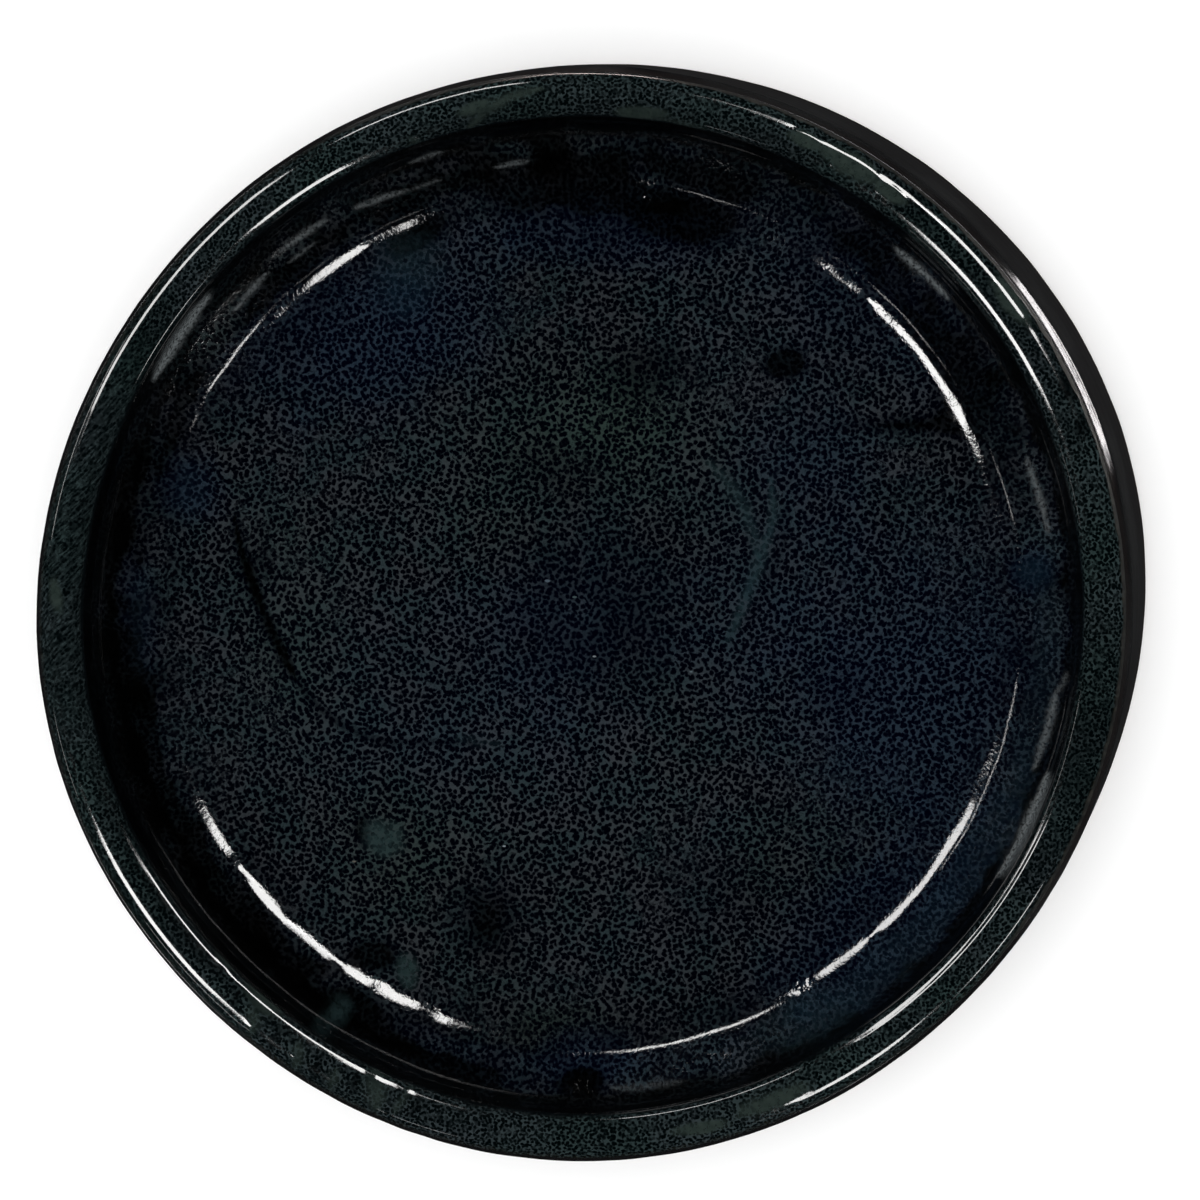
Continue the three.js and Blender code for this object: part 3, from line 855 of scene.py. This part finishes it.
# painted shade over the inner edge, with the dark glaze of gaps and chips
colr = g.mix(g.math("MULTIPLY", shade_and_dark_, 0.94), colr, seen((2, 4, 5)))
colr = g.mix(g.math("MULTIPLY", ru_, 0.75), colr, g.mix(g.ramp(g.noise(q1, 0.8, 2.0, 0.6, "2D"), 0.4, 0.7), seen((5, 6, 4)), seen((40, 38, 26))))
roughr = g.blend(ru_, g.ramp(g.noise(pr, 0.3, 2.0, 0.5, "2D"), 0.3, 0.7, 0.05, 0.085), 0.55)
hr = g.math("ADD", g.math("MULTIPLY", netr, 0.4), g.math("MULTIPLY", g.noise(q1, 2.4, 2.0, 0.5, "2D"), 0.6))
g.shader(Base_Color=colr, Roughness=roughr, IOR=1.5, Normal=g.bump(hr, 1.0, 0.0000022))
rim.data.materials.append(g.mat)

# ======================================================================
# outside coat
# ======================================================================
N_OUT = 512
op_path = outside_path(True)
true_path = trimmed(op_path, False)
lipped = true_path.copy()
reach_s = along(true_path)
top_s = 3.4                                            # the lip is as deep as this part of the path
head = reach_s < top_s
t = reach_s[head] / top_s
e0 = true_path[0]
e1 = true_path[np.argmax(reach_s >= top_s)]
ctrl = [e0, e0 + (0.22, -0.30), e0 + (0.45, -0.56), e0 + (0.78, -0.910), e0 + (1.11, -1.260), e0 + (1.37, -1.535), e0 + (1.47, -1.88), e1]
ctrl = smooth_curve(ctrl, 160)
cs = along(ctrl) / along(ctrl)[-1]
lipped[head] = np.stack([np.interp(t, cs, ctrl[:, 0]), np.interp(t, cs, ctrl[:, 1])], 1)
ang = np.arange(N_OUT) / N_OUT * 360
turn = lambda a: (ang - a + 180) % 360 - 180
lip = 0.18 + 0.82 * np.exp(-(np.abs(turn(27.5)) / 14.5) ** 6) + 0.55 * np.exp(-(turn(88) / 9) ** 2)
lip = np.clip(lip + 0.05 * noise(ang / 2.2, 0.0, 0.0, 94), 0, 1)[None, :, None]
out0 = turned_grid(true_path, N_OUT) * (1 - lip) + turned_grid(lipped, N_OUT) * lip
out_n = grid_normals(out0)
X, Y, Z = out0[..., 0], out0[..., 1], out0[..., 2]
s_o = along(op_path)[:, None] + 0 * X
tot = s_o[-1, 0]
tho = np.arange(N_OUT) / N_OUT * 2 * math.pi + 0 * X
relief = 0.02 * np.cos(2 * math.pi * (Z / 4.6 + tho / (2 * math.pi) + 0.3 * layered(X / 40, Y / 40, Z / 40, 2, 90))) * step((30 - Z) / 4)
relief += 0.07 * layered(X / 16, Y / 16, Z / 12, 3, 91)
relief += 0.30 * np.exp(-((s_o - (tot - 1.6)) / 1.1) ** 2) * (0.8 + 0.3 * layered(X / 9, Y / 9, 0, 2, 92))      # bead where the coat ends
end_edge = step(s_o / 0.5) * step((tot - s_o) / 0.5)
out_front = out0 + out_n * (np.clip(relief, -0.25, 0.55) * end_edge)[..., None]
out_back = turned_grid(trimmed(inset(outside_path(False), GLAZE, JOIN_OUT, JOIN_FOOT), False), N_OUT)
outside, ids = shell("outside_coat", out_front, out_back, False)
front_side = step((np.cos(tho - math.radians(40)) - 0.1) / 0.25)
band = np.exp(-((s_o - 0.5) / 0.9) ** 2) * (0.15 + 0.85 * front_side)
shade = 1 - 0.9 * (1 - front_side) * np.exp(-(s_o / 5.0) ** 2)
give(outside, "tone", ids, np.stack([np.clip(s_o / tot, 0, 1), band, np.clip(0.5 + 0.5 * layered(X / 14, Y / 14, Z / 10, 3, 93), 0, 1) * shade], -1))
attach(outside, "root")
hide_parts("glaze_outside")

g = Nodes("black_glaze_look")
obj = g.node("ShaderNodeTexCoord").outputs["Object"]
mm = g.vmath("SCALE", obj, scale=1000.0)
dn_, ed_, cl_ = g.parts(g.attr("tone"))
speck = g.ramp(g.noise(mm, 1.3, 3.0, 0.6), 0.35, 0.7)
colo = g.mix(g.ramp(cl_, 0.25, 0.75), seen((13, 13, 15)), seen((34, 36, 37)))
colo = g.mix(g.math("MULTIPLY", speck, 0.5), colo, seen((15, 14, 15)))
# painted shade: darker towards the foot
colo = g.mix(g.ramp(dn_, 0.30, 0.92, 0.0, 0.75), colo, seen((8, 7, 8)))
colo = g.mix(g.math("MULTIPLY", ed_, 0.5), colo, seen((26, 20, 18)))
low_f = g.ramp(dn_, 0.80, 0.97)
colo = g.mix(g.math("MULTIPLY", low_f, 0.6), colo, seen((34, 27, 22)))
rougho = g.math("ADD", g.ramp(dn_, 0.06, 0.35, 0.10, 0.36), g.math("MULTIPLY", g.noise(mm, 0.5, 2.0, 0.5), 0.08))
ho = g.math("ADD", g.noise(mm, 0.9, 3.0, 0.55), g.math("MULTIPLY", g.noise(mm, 3.5, 1.0, 0.5), 0.25))
g.shader(Base_Color=colo, Roughness=rougho, IOR=1.6, Normal=g.bump(ho, 1.0, 0.000012))
g.bsdf.inputs["Specular Tint"].default_value = (0.97, 0.97, 1.0, 1.0)
outside.data.materials.append(g.mat)

# ======================================================================
# recess coat, under the floor
# ======================================================================
N_REC = 256
rec = chain(line((0, RECESS_Z), (RECESS_R - 1.2, RECESS_Z), 60), arc((RECESS_R - 1.2, RECESS_Z + 0.5), 0.5, 180, 90, 5)[1:])
rec = np.concatenate([rec[:61], arc((RECESS_R - 1.2, RECESS_Z + 0.35), 0.35, 180, 120, 4)[1:]])
rec_top = np.array([(0, RECESS_Z + GLAZE), (30, RECESS_Z + GLAZE), (60, RECESS_Z + GLAZE), (RECESS_R - 0.9, RECESS_Z + GLAZE)], float)
lower, upper = turned_grid(rec, N_REC), turned_grid(rec_top, N_REC)
X, Y = lower[..., 0], lower[..., 1]
rr = np.hypot(X, Y)
tool = np.cos(2 * math.pi * (rr / 3.4 - np.arctan2(Y, X) / (2 * math.pi)))
keep = step((RECESS_R - 2.2 - rr) / 2)
lower = lower - np.array([0, 0, 1.0]) * ((0.035 * tool + 0.05 * layered(X / 14, Y / 14, 0, 3, 95)) * keep)[..., None]
recess, ids = shell("recess_coat", upper, lower, True)
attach(recess, "root")
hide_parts("glaze_recess")
g = Nodes("recess_glaze_look")
obj = g.node("ShaderNodeTexCoord").outputs["Object"]
mm = g.vmath("SCALE", obj, scale=1000.0)
cloud = g.noise(mm, 0.06, 4.0, 0.6)
colc = g.mix(g.ramp(cloud, 0.35, 0.65), seen((18, 17, 17)), seen((30, 27, 25)))
colc = g.mix(g.ramp(g.noise(mm, 1.1, 3.0, 0.6), 0.62, 0.75, 0.0, 0.5), colc, seen((50, 44, 39)))
g.shader(Base_Color=colc, Roughness=g.ramp(cloud, 0.3, 0.7, 0.34, 0.5), IOR=1.5,
         Normal=g.bump(g.noise(mm, 1.0, 3.0, 0.55), 1.0, 0.00003))
recess.data.materials.append(g.mat)

# ======================================================================
# clay body: inside the coats, bare at the foot
# ======================================================================
N_CLAY = 384
SKIN = GLAZE + SEAM


def clay_outline():
    a = inset(well_path(False), SKIN, DOWN, JOIN_IN)
    b = inset(rim_path(False), SKIN, JOIN_IN, JOIN_OUT)
    c = inset(outside_path(False), SKIN, JOIN_OUT, JOIN_FOOT)
    foot = chain(
        np.array([(WALL_LOW_R - 0.35 - GLAZE, GLAZE_STOP_Z - 0.3), (WALL_LOW_R - 0.95, GLAZE_STOP_Z - 0.75)]),
        line((WALL_LOW_R - 0.95, GLAZE_STOP_Z - 0.75), (FOOT_ROUND_R, 0.55), 8),
        line((FOOT_ROUND_R, 0.55), (FOOT_OUT_R, 0.0), 4),
        line((FOOT_OUT_R, 0.0), (FOOT_IN_R, 0.0), 14),
        line((FOOT_IN_R, 0.0), (FOOT_IN_R - 1.3, 0.6), 4),
        line((FOOT_IN_R - 1.3, 0.6), (RECESS_R + 1.2, RECESS_Z - 1.6), 10),
        line((RECESS_R + 1.2, RECESS_Z - 1.6), (RECESS_R + 0.2, RECESS_Z - 0.4 + SKIN), 3),
        line((RECESS_R + 0.2, RECESS_Z - 0.4 + SKIN), (RECESS_R - 0.6, RECESS_Z + SKIN), 2),
        line((RECESS_R - 0.6, RECESS_Z + SKIN), (0, RECESS_Z + SKIN), 6),
    )
    return np.concatenate([a, b[1:], c[1:], foot]), len(a) + len(b) + len(c) - 2


cl, start = clay_outline()
clay_g = turned_grid(cl, N_CLAY)
clay_n = grid_normals(clay_g)
X, Y, Z = clay_g[..., 0], clay_g[..., 1], clay_g[..., 2]
bare = np.zeros(len(cl))
bare[start + 2: -8] = 1
lump = 0.06 * layered(X / 3.0, Y / 3.0, Z / 3.0, 3, 97)
lump = np.where(Z < 0.02, 0.0, np.minimum(lump, 0.05)) * bare[:, None]
clay_g = clay_g + clay_n * lump[..., None]
clay_g[..., 2] = np.maximum(clay_g[..., 2], 0.0)


def closed_turned(name, grid):
    """A body whose outline starts and ends on the axis."""
    n = grid.shape[1]
    verts = [grid[0].mean(0, keepdims=True), grid[1:-1].reshape(-1, 3), grid[-1].mean(0, keepdims=True)]
    rows = [np.zeros(n, int)] + [1 + k * n + np.arange(n) for k in range(len(grid) - 2)]
    rows.append(np.full(n, 1 + (len(grid) - 2) * n))
    quads, tris = [], []
    for a, c in zip(rows[:-1], rows[1:]):
        a1, c1 = np.roll(a, -1), np.roll(c, -1)
        if a[0] == a[-1]:
            tris.append(np.stack([a, c, c1], 1))
        elif c[0] == c[-1]:
            tris.append(np.stack([a, c, a1], 1))
        else:
            quads.append(np.stack([a, c, c1, a1], 1))
    return make(name, np.concatenate(verts), quads, tris)


clay = closed_turned("clay_dish", clay_g)
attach(clay, "root")
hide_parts("clay_body")
g = Nodes("bare_clay_look")
obj = g.node("ShaderNodeTexCoord").outputs["Object"]
mm = g.vmath("SCALE", obj, scale=1000.0)
body = g.mix(g.ramp(g.noise(mm, 0.08, 4.0, 0.6), 0.35, 0.65), seen((92, 74, 60)), seen((122, 100, 82)))
grog = g.voronoi(mm, 0.9, "F1", "3D", 1.0)
body = g.mix(g.ramp(grog, 0.14, 0.24, 0.75, 0.0), body, seen((58, 44, 36)))
body = g.mix(g.ramp(g.noise(mm, 1.8, 3.0, 0.6), 0.6, 0.74, 0.0, 0.5), body, seen((150, 130, 110)))
hc = g.math("ADD", g.noise(mm, 1.4, 4.0, 0.65), g.math("MULTIPLY", g.ramp(grog, 0.1, 0.3), -0.6))
g.shader(Base_Color=body, Roughness=0.82, IOR=1.45, Normal=g.bump(hc, 1.0, 0.0001))
clay.data.materials.append(g.mat)

# ======================================================================
# floor, light and camera
# ======================================================================
fl = bpy.data.meshes.new("table")
R_T = 4.0
fl.from_pydata([(-R_T, -R_T, 0), (R_T, -R_T, 0), (R_T, R_T, 0), (-R_T, R_T, 0)], [], [(0, 1, 2, 3)])
table = bpy.data.objects.new("table", fl)
scene.collection.objects.link(table)
table.location.z = -0.0002
g = Nodes("pale_floor")
g.shader(Base_Color=(0.94, 0.94, 0.94, 1.0), Roughness=0.9)
g.bsdf.inputs["Specular IOR Level"].default_value = 0.0
fl.materials.append(g.mat)
table.visible_glossy = False

world = bpy.data.worlds.new("studio")
scene.world = world
world.use_nodes = True
wt = world.node_tree
wt.nodes.clear()
w_out = wt.nodes.new("ShaderNodeOutputWorld")
lp = wt.nodes.new("ShaderNodeLightPath")


def glow_node(colour, strength):
    n = wt.nodes.new("ShaderNodeBackground")
    n.inputs[0].default_value = colour
    n.inputs[1].default_value = strength
    return n.outputs[0]


def either(f, a, b):
    n = wt.nodes.new("ShaderNodeMixShader")
    wt.links.new(f, n.inputs[0])
    wt.links.new(a, n.inputs[1])
    wt.links.new(b, n.inputs[2])
    return n.outputs[0]


# reflections see a dark studio that is a little lighter towards its walls
tc = wt.nodes.new("ShaderNodeTexCoord")
sx = wt.nodes.new("ShaderNodeSeparateXYZ")
wt.links.new(tc.outputs["Generated"], sx.inputs[0])
mr_ = wt.nodes.new("ShaderNodeMapRange")
wt.links.new(sx.outputs[2], mr_.inputs[0])
for k, v in zip((1, 2, 3, 4), (-0.05, 0.45, 0.010, 0.0)):
    mr_.inputs[k].default_value = v
dim = wt.nodes.new("ShaderNodeBackground")
dim.inputs[0].default_value = (1.0, 1.0, 1.0, 1.0)
wt.links.new(mr_.outputs[0], dim.inputs[1])
base = glow_node((1, 1, 1, 1), LIT)
mirror = either(lp.outputs["Is Glossy Ray"], base, dim.outputs[0])
all_ = either(lp.outputs["Is Camera Ray"], mirror, glow_node((1, 1, 1, 1), 1.05))
wt.links.new(all_, w_out.inputs[0])


def lamp(name, az, ze, w_az, w_ze, radiance, colour=(1.0, 0.99, 0.98), dist=1.4):
    """A soft box seen in the glaze, between two azimuths and two angles from the vertical."""
    a, z = math.radians(az), math.radians(ze)
    d = np.array([math.sin(z) * math.cos(a), math.sin(z) * math.sin(a), math.cos(z)])
    li = bpy.data.lights.new(name, "AREA")
    li.shape = "RECTANGLE"
    li.size = 2 * dist * math.sin(math.radians(w_az) / 2) * math.sin(z)
    li.size_y = 2 * dist * math.tan(math.radians(w_ze) / 2)
    li.energy = radiance * math.pi * li.size * li.size_y
    li.color = colour
    ob = bpy.data.objects.new(name, li)
    t = np.array([-math.sin(a), math.cos(a), 0.0])
    u = np.cross(d, t)
    from mathutils import Matrix
    ob.matrix_world = Matrix((
        (t[0], u[0], d[0], d[0] * dist),
        (t[1], u[1], d[1], d[1] * dist),
        (t[2], u[2], d[2], d[2] * dist),
        (0, 0, 0, 1),
    ))
    ob.visible_diffuse = False
    ob.visible_camera = False
    scene.collection.objects.link(ob)
    return ob


lamp("box_a1", 41.4, 28.5, 23.2, 11.5, 22)
lamp("box_a2", 65, 28.5, 24, 11.5, 22)
lamp("box_a3", 81.5, 29, 9, 1.8, 8)
lamp("box_b", 115.5, 52.6, 22, 4.4, 18)
lamp("box_c", 151, 46, 31, 11, 17)
lamp("box_d", 166.5, 60, 21, 1.8, 11)
lamp("box_e", 216.6, 34.5, 16.4, 11, 24)
lamp("box_e2", 198.5, 61, 8, 1.8, 6)
lamp("box_f", 290.4, 39, 12.5, 11.8, 20)
lamp("box_f2", 315, 54, 12, 4, 16)
# low strips
lamp("low_g", 222, 59, 11, 1.6, 8)
lamp("low_h", 247.5, 60, 6, 1.4, 8)
lamp("low_k", 284.5, 58.6, 6, 0.8, 4)
lamp("low_k2", 299, 58.2, 5, 0.8, 4)
lamp("low_k3", 308, 57.6, 5, 0.8, 4)
lamp("low_p", 28, 81.4, 28, 1.75, 26, (1.0, 0.96, 0.94), 0.2037)
lamp("low_q", 93, 80.8, 17, 0.9, 40, (1.0, 0.84, 0.80), 0.2037)

cam_data = bpy.data.cameras.new("camera")
cam_data.sensor_width = 36.0
cam_data.lens = 36.0 * CAM_DIST / FRAME_W
cam_data.clip_start = 0.05
cam_data.clip_end = 50.0
cam = bpy.data.objects.new("camera", cam_data)
scene.collection.objects.link(cam)
from mathutils import Matrix
cam.matrix_world = Matrix((
    (RIGHT[0], UPWARD[0], VIEW[0], EYE[0] * 0.001),
    (RIGHT[1], UPWARD[1], VIEW[1], EYE[1] * 0.001),
    (RIGHT[2], UPWARD[2], VIEW[2], EYE[2] * 0.001),
    (0, 0, 0, 1),
))
scene.camera = cam
scene.view_settings.view_transform = "Standard"

bpy.context.view_layer.update()
